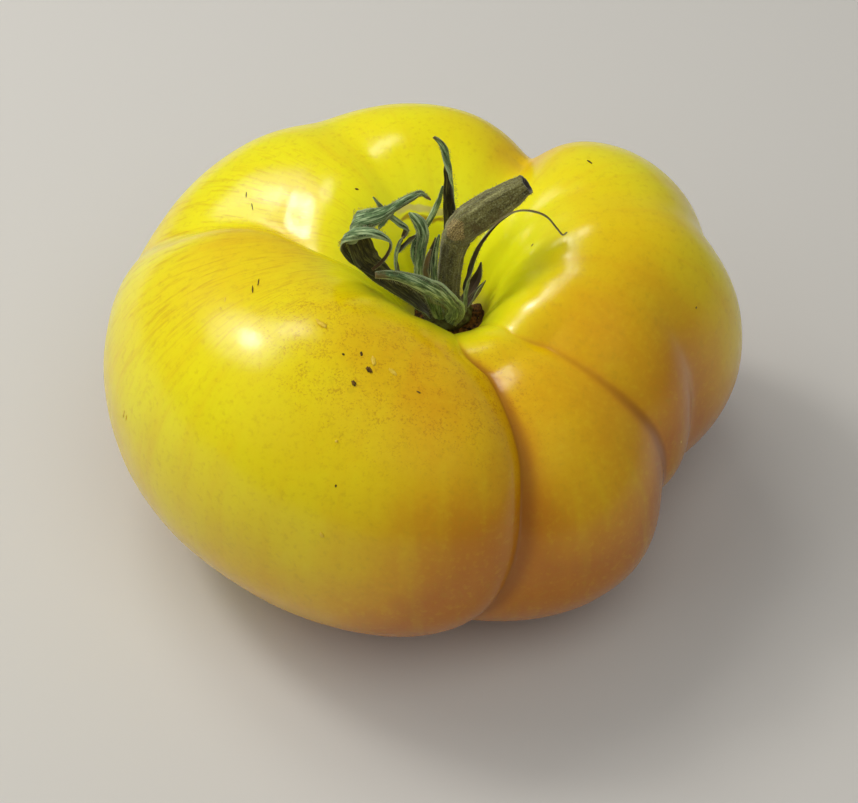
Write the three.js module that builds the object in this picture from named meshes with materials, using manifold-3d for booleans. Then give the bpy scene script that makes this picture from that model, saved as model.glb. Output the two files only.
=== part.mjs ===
// A ribbed yellow beefsteak tomato, as picked: the fruit, its dried calyx and the cut stem.
// Millimetres, +Z up. The origin is on the surface that the fruit rests on, under the middle of
// the stem cavity. Azimuths are degrees from +X towards +Y, and the best side faces -Y.
import * as THREE from "three";
import { mergeVertices } from "three/addons/utils/BufferGeometryUtils.js";
import Module from "manifold-3d";

const wasm = await Module();
wasm.setup();

// Driving sizes of the fruit's section
const CAVITY_FLOOR_HEIGHT = 43; // from the table to the bottom of the stem cavity
const CAVITY_FLOOR_RADIUS = 5.5;
const CAVITY_FILLET = 0.08; // share of the cavity's wall that rounds into its floor
const LEAST_BEND = 0.3;
const MOST_BEND = 1.2;
const BELLY_HEIGHT_SHARE = 0.47; // of the shoulder's height
const FOOT_RADIUS_SHARE = 0.34; // of the reach: the flat spot that the fruit rests on
const SHOULDER_FULLNESS = 1.05; // 1 is a true ellipse, and more is squarer
const UNDERSIDE_FULLNESS = 1.08;

// The body between the creases: how far the belly reaches from the stem, how high the shoulder
// stands, and how far from the stem its crest is
const LOBES = [
  { azimuth: 5, reach: 59, shoulder: 66.5, crest: 30 },
  { azimuth: 50, reach: 57.5, shoulder: 66, crest: 32.5 },
  { azimuth: 92, reach: 55, shoulder: 65, crest: 35 },
  { azimuth: 133, reach: 64.5, shoulder: 65, crest: 34 },
  { azimuth: 182, reach: 65.5, shoulder: 64, crest: 32 },
  { azimuth: 225, reach: 61.5, shoulder: 67, crest: 32 },
  { azimuth: 264, reach: 59.5, shoulder: 63, crest: 28.5 },
  { azimuth: 308, reach: 61, shoulder: 62, crest: 26 },
  { azimuth: 342, reach: 53.5, shoulder: 64, crest: 27.5 },
];

// The creases, in order round the stem. azimuth is given at five places from the stem to the foot,
// depth at the shoulder, the belly and the foot, and width in degrees on the side before the crease
// and on the side after it. tip is how round its bottom is, as a share of its width: a crease with
// a small tip is a sharp fold. lean undercuts the lobe on one side, as a share of the depth.
const CREASES = [
  {
    azimuth: [30, 17, 15.5, 19, 20], depth: [0.7, 4.5, 1],
    width: [9, 9], tip: 0.5, lean: 0, columns: 11,
  },
  {
    azimuth: [62, 64, 64, 66, 72], depth: [10.5, 12, 2],
    width: [11, 15.5], tip: 0.25, lean: 0, columns: 14,
  },
  {
    azimuth: [121, 121, 121, 121, 121], depth: [2.5, 2.5, 1],
    width: [10, 10], tip: 0.5, lean: 0, columns: 11,
  },
  {
    azimuth: [177, 164, 165.5, 161, 154], depth: [7.5, 1, 0],
    width: [18.5, 5.5], tip: 0.5, lean: 0, columns: 32,
  },
  {
    azimuth: [275, 286.5, 291, 285, 261], depth: [7, 7.5, 1],
    width: [10.5, 28], tip: 0.05, lean: -0.7, columns: 10,
  },
  {
    azimuth: [303, 313.5, 319, 324.5, 334], depth: [4.5, 7.5, 3.5],
    width: [16, 11.5], tip: 0.1, lean: 0.5, columns: 5,
  },
  {
    azimuth: [342, 342, 341.5, 341, 339], depth: [0, 2.5, 2],
    width: [6, 7], tip: 0.3, lean: 0, columns: 13,
  },
];

// A meridian runs from 0 at the stem's axis to 1 at the shoulder's crest, 2 at the belly, 3 at the
// edge of the foot and 4 under the middle
const CREST = 1;
const BELLY = 2;
const FOOT = 3;
const FLAT_FROM = 3.35; // the creases run out here, which leaves the flat spot
const CREASE_PLACES = [0.5, 1.05, 1.45, 2.1, 3.2]; // where the creases' azimuths are given
const MERIDIAN_END = 4;
const RINGS = { cavity: 9, shoulder: 8, underside: 9, foot: 4 };
const COLUMN_CROWDING = 0.5; // columns stand closer beside a crease than in the middle of a lobe

const DEGREE = Math.PI / 180;
const clamp01 = (x) => Math.min(Math.max(x, 0), 1);
const smooth = (x) => x * x * (3 - 2 * x);

// A value given at some places, in order, and eased between them
function easedThrough(places, values, x) {
  let i = 0;
  while (i < places.length - 2 && x > places[i + 1]) i++;
  const share = smooth(clamp01((x - places[i]) / (places[i + 1] - places[i])));
  return values[i] + (values[i + 1] - values[i]) * share;
}

// Part of the way along a cubic that has these values and slopes at its ends
function alongCubic(share, span, [first, last], [firstSlope, lastSlope]) {
  const rise = smooth(share);
  return (
    (1 - rise) * first + rise * last +
    share * (1 - share) ** 2 * span * firstSlope - share ** 2 * (1 - share) * span * lastSlope
  );
}

// A value given at some places, in order, and curved smoothly through them, level at both ends
function curvedThrough(places, values, x) {
  const end = places.length - 1;
  const slope = (i) => (
    i === 0 || i === end ? 0 : (values[i + 1] - values[i - 1]) / (places[i + 1] - places[i - 1])
  );
  let i = 0;
  while (i < end - 1 && x > places[i + 1]) i++;
  const span = places[i + 1] - places[i];
  const share = clamp01((x - places[i]) / span);
  return alongCubic(share, span, [values[i], values[i + 1]], [slope(i), slope(i + 1)]);
}

// One size of the lobes at any azimuth: a cubic through the rows that closes on itself
function lobeSize(key, azimuth) {
  const count = LOBES.length;
  const row = (i) => LOBES[((i % count) + count) % count];
  const at = (i) => row(i).azimuth + 360 * Math.floor(i / count);
  const slope = (i) => (row(i + 1)[key] - row(i - 1)[key]) / (at(i + 1) - at(i - 1));
  const turned = ((azimuth % 360) + 360) % 360;
  let i = count - 1;
  while (i >= 0 && at(i) > turned) i--;
  const span = at(i + 1) - at(i);
  const share = (turned - at(i)) / span;
  return alongCubic(share, span, [row(i)[key], row(i + 1)[key]], [slope(i), slope(i + 1)]);
}

// Radius and height of the uncreased fruit at a place on a meridian
function meridian(place, { reach, shoulder, crest }) {
  const belly = BELLY_HEIGHT_SHARE * shoulder;
  const foot = FOOT_RADIUS_SHARE * reach;
  if (place <= CREST) {
    const radius = crest * place;
    const up = clamp01((radius - CAVITY_FLOOR_RADIUS) / (crest - CAVITY_FLOOR_RADIUS));
    // At its top the wall bends as much as the shoulder does, so that the crest has no edge
    const bend = Math.min(Math.max(
      (shoulder - belly) / (reach - crest) ** 2 * (crest - CAVITY_FLOOR_RADIUS) ** 2 /
        (2 * (shoulder - CAVITY_FLOOR_HEIGHT)),
      LEAST_BEND,
    ), MOST_BEND);
    const wall = (1 - bend * (1 - up) ** 2 - (1 - bend) * (1 - up) ** 3) *
      (1 - Math.exp(-up / CAVITY_FILLET));
    return [radius, CAVITY_FLOOR_HEIGHT + (shoulder - CAVITY_FLOOR_HEIGHT) * wall];
  }
  const quarter = (place - Math.floor(Math.min(place, FOOT) - 1e-9)) * (Math.PI / 2);
  const [sine, cosine] = [Math.sin(quarter), Math.max(Math.cos(quarter), 0)];
  if (place <= BELLY) {
    const power = 1 / SHOULDER_FULLNESS;
    return [crest + (reach - crest) * sine ** power, belly + (shoulder - belly) * cosine ** power];
  }
  if (place <= FOOT) {
    const power = 1 / UNDERSIDE_FULLNESS;
    return [foot + (reach - foot) * cosine ** power, belly * (1 - sine ** power)];
  }
  return [foot * (MERIDIAN_END - place), 0];
}

const creaseAzimuth = (crease, place) => curvedThrough(CREASE_PLACES, crease.azimuth, place);

// A point of the fruit's skin: the meridian, pushed in along its normal at the creases
function skinPoint(place, azimuth) {
  const sizes = {
    reach: lobeSize("reach", azimuth),
    shoulder: lobeSize("shoulder", azimuth),
    crest: lobeSize("crest", azimuth),
  };
  const [radius, height] = meridian(place, sizes);
  const step = 1e-3;
  const before = meridian(Math.max(place - step, 0), sizes);
  const after = meridian(Math.min(place + step, MERIDIAN_END), sizes);
  const along = new THREE.Vector2(after[0] - before[0], after[1] - before[1]).normalize();
  let inward = 0;
  let sideways = 0;
  for (const crease of CREASES) {
    const depth = easedThrough([0.1, CREST, BELLY, FOOT, FLAT_FROM], [0, ...crease.depth, 0], place);
    const lean = crease.lean * easedThrough([0.9, 1.7], [0, 1], place);
    const turn = ((azimuth - creaseAzimuth(crease, place) + 540) % 360) - 180;
    const widths = turn / (turn < 0 ? crease.width[0] : crease.width[1]);
    const share = Math.exp(crease.tip - Math.hypot(widths, crease.tip));
    inward += depth * share;
    sideways += depth * share * lean;
  }
  const out = radius + inward * along.y;
  const [cos, sin] = [Math.cos(azimuth * DEGREE), Math.sin(azimuth * DEGREE)];
  return new THREE.Vector3(
    out * cos - sideways * sin,
    out * sin + sideways * cos,
    Math.max(height - inward * along.x, 0),
  );
}

// Azimuth of a column of the fruit's grid: the columns run along the creases, so that each crease
// is an edge of the mesh
function columnAzimuths(place) {
  const list = [];
  CREASES.forEach((crease, i) => {
    const next = CREASES[(i + 1) % CREASES.length];
    const start = creaseAzimuth(crease, place);
    const end = creaseAzimuth(next, place) + (i + 1 === CREASES.length ? 360 : 0);
    for (let k = 0; k < crease.columns; k++) {
      const share = k / crease.columns;
      const crowded = share - (COLUMN_CROWDING * Math.sin(2 * Math.PI * share)) / (2 * Math.PI);
      list.push(start + (end - start) * crowded);
    }
  });
  return list;
}

// A closed skin over rings that have the same number of points, each end closed on a point. The
// rings turn clockwise as seen from the last one.
function loft(rings, first, last) {
  const count = rings[0].length;
  const points = [...rings.flat(), first, last];
  const faces = [];
  for (let j = 0; j < count; j++) {
    const k = (j + 1) % count;
    faces.push(points.length - 2, j, k);
    for (let i = 0; i < rings.length - 1; i++) {
      const [a, b, c, d] = [i * count + j, i * count + k, (i + 1) * count + k, (i + 1) * count + j];
      faces.push(a, d, b, b, d, c);
    }
    const end = (rings.length - 1) * count;
    faces.push(points.length - 1, end + k, end + j);
  }
  const geometry = new THREE.BufferGeometry().setFromPoints(points);
  geometry.setIndex(faces);
  geometry.computeVertexNormals();
  return geometry;
}

function fruitGeometry() {
  const places = [];
  const spread = (from, to, count) => {
    for (let i = 0; i < count; i++) places.push(from + ((to - from) * i) / count);
  };
  spread(0.15, CREST, RINGS.cavity);
  spread(CREST, BELLY, RINGS.shoulder);
  spread(BELLY, FOOT, RINGS.underside);
  spread(FOOT, MERIDIAN_END, RINGS.foot);
  const rings = places.map((place) => columnAzimuths(place).map((a) => skinPoint(place, a)));
  return loft(rings, new THREE.Vector3(0, 0, CAVITY_FLOOR_HEIGHT), new THREE.Vector3(0, 0, 0));
}

// The calyx: a small disc on the floor of the cavity, and the sepals that grow from it
const GAP = 0.3; // between pieces that touch
const RECEPTACLE_BASE = CAVITY_FLOOR_HEIGHT + GAP;
const RECEPTACLE_HEIGHT = 3.2;
const RECEPTACLE_RADIUS = 4.6;
const SEPAL_THICKNESS = 0.7;
const SEPAL_TIP_WIDTH = 0.6;
const SEPAL_STEPS_PER_POINT = 2;

// Each sepal: its greatest width and the share of its length where that is, how far it has turned
// about its rib, in degrees, at the root, past a third and from two thirds of its length, how deeply
// it is cupped as a share of its width, and the points that its rib passes through
const SEPALS = [
  {
    name: "left_long", width: 4.2, widest: 0.35, turn: [10, -55, -55], cup: 0.2,
    rib: [[-2.9, -1.5, 45], [-6.8, -2.6, 50.9], [-10.8, -3.8, 56.6], [-13.6, -4.7, 60.9],
      [-15.2, -5.2, 64.2], [-16, -5.5, 67.2], [-16.8, -6.2, 70.3], [-16.9, -7.1, 72.7],
      [-15.8, -7.7, 74.4], [-13.8, -7.4, 74.9], [-11.9, -6.6, 75], [-10.2, -5.6, 75.3],
      [-8.3, -4.4, 75.9], [-6.4, -3.2, 76.2], [-4.7, -2.4, 76.2], [-3.8, -2.4, 75.3],
      [-3.1, -2.6, 74.8]],
  },
  {
    name: "left_curl", width: 2.4, widest: 0.4, turn: [0, -60, -60], cup: 0.2,
    rib: [[-3.1, 0, 45], [-7.1, -1.8, 51], [-11.1, -3.6, 57], [-14.8, -5.4, 61.7],
      [-17, -6.1, 64.7], [-18.2, -6.8, 67.9], [-18.1, -8, 71.1], [-16.8, -9.1, 73.1],
      [-14.9, -9.8, 74], [-12.9, -10, 74], [-11.2, -10.1, 73.2], [-10, -10.3, 71.5],
      [-10.6, -10.8, 69.4], [-12, -11.2, 67.6], [-13.4, -11.5, 66.4]],
  },
  {
    name: "broad", width: 2.6, widest: 0.6, turn: [0, 0, 40], cup: 0.2,
    rib: [[-1.8, -2.8, 45], [-3.6, -4.4, 52.1], [-5.2, -5.2, 57.9], [-5.2, -5.2, 62.3],
      [-4.9, -5, 65.6], [-4.5, -4.6, 68.1], [-5, -4, 70.2], [-6.1, -3.4, 71.5], [-7, -3, 72.1]],
  },
  {
    name: "bent", width: 1.8, widest: 0.3, turn: [0, 0, 50], cup: 0.2,
    rib: [[-2.9, 1.6, 45], [-6.6, -0.8, 50.9], [-9.2, -2, 56.9], [-9.4, -2.4, 61.7],
      [-8.6, -2.6, 65.3], [-7.7, -2.8, 68.4], [-9.1, -3, 70.7], [-11.2, -3, 73.3],
      [-13.2, -3, 75.8]],
  },
  {
    name: "front", width: 4.4, widest: 0.25, turn: [-10, -30, -40], cup: 0.15,
    rib: [[-0.1, -3.2, 45], [0.9, -6.8, 51.4], [-0.2, -9.4, 56.2], [-2.5, -11, 60.3],
      [-5.4, -12, 63.4], [-8.3, -12.6, 65.5], [-10.8, -13, 66.5], [-12.8, -13.4, 66.9]],
  },
  {
    name: "upright", width: 2.5, widest: 0.35, turn: [0, 0, -20], cup: 0.3,
    rib: [[0.3, 3.4, 45], [0.7, 6.6, 46.9], [1.1, 9.4, 51.6], [1.4, 11.4, 56.8], [1.6, 13, 62],
      [1.2, 14, 67.4], [0, 15, 70.9], [-1.2, 15.4, 72.7], [-2.5, 15.6, 73.9]],
  },
  {
    name: "back_thin", width: 1.6, widest: 0.3, turn: [0, 40, 60], cup: 0.2,
    rib: [[-1.6, 3.1, 45], [-4.4, 4.8, 48.4], [-6.2, 6.4, 52], [-5.8, 7.8, 55.6],
      [-3.6, 9, 58.8], [-1.8, 10, 62.7], [-0.9, 10, 67]],
  },
  {
    name: "by_stem", width: 2, widest: 0.4, turn: [0, 0, 20], cup: 0.2,
    rib: [[-1.2, -3.2, 45], [-2.2, -4.6, 54], [-2.6, -5, 60], [-2.3, -5.2, 65], [-1.6, -5.3, 69]],
  },
  {
    name: "dry_strip", width: 1.4, widest: 0.5, turn: [0, 30, 60], cup: 0.1,
    rib: [[-1.4, -3.2, 45], [-3.2, -5.6, 55.4], [-4, -6.6, 61], [-3.6, -6.8, 64.6],
      [-3.1, -6.6, 66.6]],
  },
  {
    name: "wire", width: 1.3, widest: 0.2, turn: [0, 60, 100], cup: 0.1,
    rib: [[3.2, -1.2, 45], [3.6, -2.6, 53.8], [4.2, -3, 58.4], [5.3, -3.2, 63.6],
      [7, -3.3, 67.6], [9.3, -3.3, 70.9], [11.9, -3.4, 72.9], [14.7, -3.5, 73.1],
      [17.2, -3.8, 72.1], [19.2, -4.2, 69.6], [20.3, -4.4, 68.2], [21, -4.4, 68.8]],
  },
  {
    name: "stub", width: 2.4, widest: 0.3, turn: [0, 0, 20], cup: 0.2,
    rib: [[3, 1.8, 45], [4.6, 3.1, 47.8], [5.8, 3.4, 50.8], [6.2, 3.2, 54.4]],
  },
];

// Share of a sepal's width at a share of its length: narrower at the root, and then to a point
function sepalTaper(share, widest) {
  const root = 0.6 + 0.4 * smooth(clamp01(share / widest));
  const tip = Math.cos((clamp01((share - widest) / (1 - widest)) * Math.PI) / 2) ** 0.8;
  return root * tip;
}

// A sepal as a thin cupped blade along its rib. Its inner face starts towards the stem, and turns
// with the rib and with the sepal's own turn.
function sepalGeometry({ width, widest, turn, cup, rib }) {
  const curve = new THREE.CatmullRomCurve3(rib.map((p) => new THREE.Vector3(...p)), false, "centripetal");
  const steps = rib.length * SEPAL_STEPS_PER_POINT;
  const root = curve.getPointAt(0);
  const side = new THREE.Vector3(root.x, root.y, 0).cross(new THREE.Vector3(0, 0, 1));
  const rings = [];
  const middles = [];
  for (let i = 0; i <= steps; i++) {
    const share = i / steps;
    const middle = curve.getPointAt(share);
    const along = curve.getTangentAt(share);
    side.addScaledVector(along, -side.dot(along)).normalize();
    const turned = easedThrough([0, 0.35, 0.65], turn, share) * DEGREE;
    const across = side.clone().applyAxisAngle(along, turned);
    const inner = across.clone().cross(along);
    const half = Math.max(width * sepalTaper(share, widest), SEPAL_TIP_WIDTH) / 2;
    const edge = 2 * half * cup * Math.sin(Math.PI * share);
    const place = (a, b) => middle.clone().addScaledVector(across, a).addScaledVector(inner, b);
    const thick = SEPAL_THICKNESS / 2;
    rings.push([
      place(-half, edge - thick), place(0, -thick), place(half, edge - thick),
      place(half, edge + thick), place(0, thick), place(-half, edge + thick),
    ]);
    middles.push(middle);
  }
  return loft(rings, middles[0], middles.at(-1));
}

function receptacleGeometry() {
  const top = RECEPTACLE_BASE + RECEPTACLE_HEIGHT;
  const outline = [
    [0, RECEPTACLE_BASE], [RECEPTACLE_RADIUS - 1, RECEPTACLE_BASE],
    [RECEPTACLE_RADIUS, RECEPTACLE_BASE + 1.2], [RECEPTACLE_RADIUS - 0.8, top - 0.6],
    [RECEPTACLE_RADIUS - 1.8, top], [0, top],
  ].map(([radius, height]) => new THREE.Vector2(radius, height));
  return new THREE.LatheGeometry(outline, 20).rotateX(Math.PI / 2);
}

// The stem: a short stalk up from the calyx to the knuckle where it was bent, then the cut length
const STEM_SIDES = 14;
const STEM_STEPS = 22;
const STEM_RIBS = 5;
const STEM_RIB_HEIGHT = 0.12;
const STEM_CENTRE = [
  [0, 0, RECEPTACLE_BASE + RECEPTACLE_HEIGHT + GAP], [0, 0, 51], [0.4, 0, 57], [1.2, 0.3, 62.3],
  [3, 0.6, 65.8], [6.2, 1, 68.5], [9.9, 1.6, 71.2], [13.9, 2.3, 74.2],
];
// Radius along the stem, from the calyx to the cut
const STEM_RADIUS_AT = [0, 0.08, 0.35, 0.52, 0.65, 0.78, 0.88, 1];
const STEM_RADIUS = [2.7, 2.1, 2.2, 2.7, 3.1, 3, 2.5, 1.85];

function stemGeometry() {
  const curve = new THREE.CatmullRomCurve3(STEM_CENTRE.map((p) => new THREE.Vector3(...p)));
  const { tangents, normals, binormals } = curve.computeFrenetFrames(STEM_STEPS);
  const rings = tangents.map((_, i) => {
    const share = i / STEM_STEPS;
    const middle = curve.getPointAt(share);
    const radius = easedThrough(STEM_RADIUS_AT, STEM_RADIUS, share);
    return Array.from({ length: STEM_SIDES }, (_, j) => {
      const turn = (-j / STEM_SIDES) * 2 * Math.PI;
      const ribbed = radius + STEM_RIB_HEIGHT * Math.cos(STEM_RIBS * turn);
      return middle.clone()
        .addScaledVector(normals[i], ribbed * Math.cos(turn))
        .addScaledVector(binormals[i], ribbed * Math.sin(turn));
    });
  });
  return loft(rings, curve.getPointAt(0), curve.getPointAt(1));
}

// Geometry to solid and back
function solidOf(geometry) {
  const bare = geometry.clone();
  bare.deleteAttribute("normal");
  bare.deleteAttribute("uv");
  const merged = mergeVertices(bare, 1e-4);
  const solid = new wasm.Manifold(
    new wasm.Mesh({
      numProp: 3,
      vertProperties: merged.attributes.position.array,
      triVerts: new Uint32Array(merged.index.array),
    }),
  );
  return solid;
}

function geometryOf(solid) {
  const { vertProperties, triVerts } = solid.getMesh();
  const geometry = new THREE.BufferGeometry();
  geometry.setAttribute("position", new THREE.BufferAttribute(vertProperties, 3));
  geometry.setIndex(new THREE.BufferAttribute(triVerts, 1));
  geometry.computeVertexNormals();
  return geometry;
}

const calyx = SEPALS.reduce(
  (joined, sepal) => joined.add(solidOf(sepalGeometry(sepal))),
  solidOf(receptacleGeometry()),
);

const finish = (color, roughness) =>
  new THREE.MeshStandardMaterial({ color, roughness, metalness: 0 });

function piece(name, geometry, material) {
  const mesh = new THREE.Mesh(geometry, material);
  mesh.name = name;
  return mesh;
}

const tomato = new THREE.Group();
tomato.add(
  piece("fruit", fruitGeometry(), finish(0xd9bf0a, 0.3)),
  piece("calyx", geometryOf(calyx), finish(0x6f8459, 0.85)),
  piece("stem", stemGeometry(), finish(0x5a5638, 0.9)),
);

export default tomato;
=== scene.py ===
"""A ribbed yellow beefsteak tomato, with its dried calyx and a short length of cut stem.

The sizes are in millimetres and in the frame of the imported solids: +Z is up, and the origin is on
the table under the middle of the stem cavity. Azimuths are degrees from +X towards +Y.
"""

import math
import random

import bpy
import numpy as np
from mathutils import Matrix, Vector, noise


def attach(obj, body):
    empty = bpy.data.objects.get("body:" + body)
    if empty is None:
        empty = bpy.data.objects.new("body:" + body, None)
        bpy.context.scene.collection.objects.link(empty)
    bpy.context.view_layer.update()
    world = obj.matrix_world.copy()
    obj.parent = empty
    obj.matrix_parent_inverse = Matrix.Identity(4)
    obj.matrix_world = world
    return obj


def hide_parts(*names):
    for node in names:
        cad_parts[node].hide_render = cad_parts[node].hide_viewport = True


MM = 0.001

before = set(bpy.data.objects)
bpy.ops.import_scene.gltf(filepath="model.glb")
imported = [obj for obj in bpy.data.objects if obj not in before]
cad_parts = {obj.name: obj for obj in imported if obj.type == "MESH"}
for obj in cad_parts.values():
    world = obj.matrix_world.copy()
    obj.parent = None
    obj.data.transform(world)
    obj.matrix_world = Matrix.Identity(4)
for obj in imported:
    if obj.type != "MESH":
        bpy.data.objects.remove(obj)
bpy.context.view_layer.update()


# Camera: it looks down on the fruit as someone standing at the table does
VIEW_DOWN = math.radians(47)
VIEW_FROM = (-3.43, -279.7, 320.1)
LENS = 88.1

camera = bpy.data.objects.new("camera", bpy.data.cameras.new("camera"))
bpy.context.scene.collection.objects.link(camera)
camera.location = Vector(VIEW_FROM) * MM
camera.rotation_euler = (math.pi / 2 - VIEW_DOWN, 0, 0)
camera.data.lens = LENS
camera.data.sensor_width = 36
camera.data.clip_start = 0.01
bpy.context.scene.camera = camera
bpy.context.scene.view_settings.view_transform = "Standard"


# The fruit's section, as in the solids. The bend of the cavity's wall at its top is kept between
# the last two, so that no wall bulges or runs flat.
CAVITY_FLOOR_HEIGHT = 43
CAVITY_FLOOR_RADIUS = 5.5
CAVITY_FILLET = 0.08
BELLY_HEIGHT_SHARE = 0.47
FOOT_RADIUS_SHARE = 0.34
SHOULDER_FULLNESS = 1.05
UNDERSIDE_FULLNESS = 1.08
LEAST_BEND, MOST_BEND = 0.3, 1.2

# Azimuth, reach of the belly, height of the shoulder, radius of its crest
LOBES = [
    (5, 59, 66.5, 30), (50, 57.5, 66, 32.5), (92, 55, 65, 35), (133, 64.5, 65, 34),
    (182, 65.5, 64, 32), (225, 61.5, 67, 32), (264, 59.5, 63, 28.5), (308, 61, 62, 26),
    (342, 53.5, 64, 27.5),
]
REACH, SHOULDER, CREST_RADIUS = 1, 2, 3

# Azimuths at the crease places, depths at the shoulder, belly and foot, width before and after, how
# round the bottom is, lean, columns
CREASES = [
    ((30, 17, 15.5, 19, 20), (0.7, 4.5, 1), (9, 9), 0.5, 0, 11),
    ((62, 64, 64, 66, 72), (10.5, 12, 2), (11, 15.5), 0.25, 0, 14),
    ((121, 121, 121, 121, 121), (2.5, 2.5, 1), (10, 10), 0.5, 0, 11),
    ((177, 164, 165.5, 161, 154), (7.5, 1, 0), (18.5, 5.5), 0.5, 0, 32),
    ((275, 286.5, 291, 285, 261), (7, 7.5, 1), (10.5, 28), 0.05, -0.7, 10),
    ((303, 313.5, 319, 324.5, 334), (4.5, 7.5, 3.5), (16, 11.5), 0.1, 0.5, 5),
    ((342, 342, 341.5, 341, 339), (0, 2.5, 2), (6, 7), 0.3, 0, 13),
]
# The bottom of a sharp crease gets a dark line of painted shade
SHARP_TIP = 0.2  # a crease whose bottom is rounder than this has no line in it
LINE_SHARPNESS = 9
DEEPEST_CREASE = 11

# Places on a meridian, from the stem's axis to the middle of the underside
CREST, BELLY, FOOT, FLAT_FROM, MERIDIAN_END = 1, 2, 3, 3.35, 4
CREASE_PLACES = [0.5, 1.05, 1.45, 2.1, 3.2]
CREASES_FROM, LEAN_FROM, LEAN_TO = 0.1, 0.9, 1.7
COLUMNS_PER_SOLID_COLUMN = 4
RINGS = {"cavity": 62, "shoulder": 70, "underside": 64, "foot": 18}
COLUMN_CROWDING = 0.5


def smooth(x):
    x = np.clip(x, 0, 1)
    return x * x * (3 - 2 * x)


def between(low, high, x):
    """0 below low and 1 above high, eased between them, and the other way round if low > high."""
    return smooth((np.asarray(x, float) - low) / (high - low))


def eased_through(places, values, x):
    """A value given at some places, in order, and eased between them."""
    places, values = np.asarray(places, float), np.asarray(values, float)
    x = np.asarray(x, float)
    i = np.clip(np.searchsorted(places, x) - 1, 0, len(places) - 2)
    share = smooth((x - places[i]) / (places[i + 1] - places[i]))
    return values[i] + (values[i + 1] - values[i]) * share


def along_cubic(share, span, first, last, first_slope, last_slope):
    """Part of the way along a cubic that has these values and slopes at its ends."""
    rise = smooth(share)
    return (
        (1 - rise) * first + rise * last
        + share * (1 - share) ** 2 * span * first_slope - share**2 * (1 - share) * span * last_slope
    )


def curved_through(places, values, x):
    """A value given at some places and curved smoothly through them, level at both ends."""
    places, values = np.asarray(places, float), np.asarray(values, float)
    slope = np.zeros(len(places))
    slope[1:-1] = (values[2:] - values[:-2]) / (places[2:] - places[:-2])
    x = np.asarray(x, float)
    i = np.clip(np.searchsorted(places, x) - 1, 0, len(places) - 2)
    span = places[i + 1] - places[i]
    share = np.clip((x - places[i]) / span, 0, 1)
    return along_cubic(share, span, values[i], values[i + 1], slope[i], slope[i + 1])


def lobe_size(column, azimuth):
    """One size of the lobes at any azimuth: a cubic through the rows that closes on itself."""
    rows = np.array(LOBES, float)
    at = np.concatenate([rows[-2:, 0] - 360, rows[:, 0], rows[:2, 0] + 360])
    values = np.concatenate([rows[-2:, column], rows[:, column], rows[:2, column]])
    slope = (values[2:] - values[:-2]) / (at[2:] - at[:-2])
    at, values = at[1:-1], values[1:-1]
    turned = np.asarray(azimuth, float) % 360
    i = np.clip(np.searchsorted(at, turned, side="right") - 1, 0, len(at) - 2)
    span = at[i + 1] - at[i]
    share = (turned - at[i]) / span
    return along_cubic(share, span, values[i], values[i + 1], slope[i], slope[i + 1])


def meridian(place, reach, shoulder, crest):
    """Radius and height of the uncreased fruit at a place on a meridian."""
    belly = BELLY_HEIGHT_SHARE * shoulder
    foot = FOOT_RADIUS_SHARE * reach
    inner = crest * np.clip(place, 0, CREST)
    up = np.clip((inner - CAVITY_FLOOR_RADIUS) / (crest - CAVITY_FLOOR_RADIUS), 0, 1)
    # At its top the wall bends as much as the shoulder does, so that the crest has no edge
    bend = (shoulder - belly) / (reach - crest) ** 2 * (crest - CAVITY_FLOOR_RADIUS) ** 2
    bend = np.clip(bend / (2 * (shoulder - CAVITY_FLOOR_HEIGHT)), LEAST_BEND, MOST_BEND)
    wall = 1 - bend * (1 - up) ** 2 - (1 - bend) * (1 - up) ** 3
    wall = wall * (1 - np.exp(-up / CAVITY_FILLET))
    cavity = inner, CAVITY_FLOOR_HEIGHT + (shoulder - CAVITY_FLOOR_HEIGHT) * wall
    turn = np.clip(place - CREST, 0, 1) * math.pi / 2
    sine, cosine = np.sin(turn), np.maximum(np.cos(turn), 0)
    power = 1 / SHOULDER_FULLNESS
    upper = crest + (reach - crest) * sine**power, belly + (shoulder - belly) * cosine**power
    turn = np.clip(place - BELLY, 0, 1) * math.pi / 2
    sine, cosine = np.sin(turn), np.maximum(np.cos(turn), 0)
    power = 1 / UNDERSIDE_FULLNESS
    lower = foot + (reach - foot) * cosine**power, belly * (1 - sine**power)
    flat = foot * (MERIDIAN_END - np.clip(place, FOOT, MERIDIAN_END)), 0 * place
    zones = [place <= CREST, place <= BELLY, place <= FOOT]
    return [np.select(zones, [cavity[k], upper[k], lower[k]], flat[k]) for k in (0, 1)]


def crease_azimuth(crease, place):
    """Where a crease runs, at a place on the meridians."""
    return curved_through(CREASE_PLACES, crease[0], place)


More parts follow.
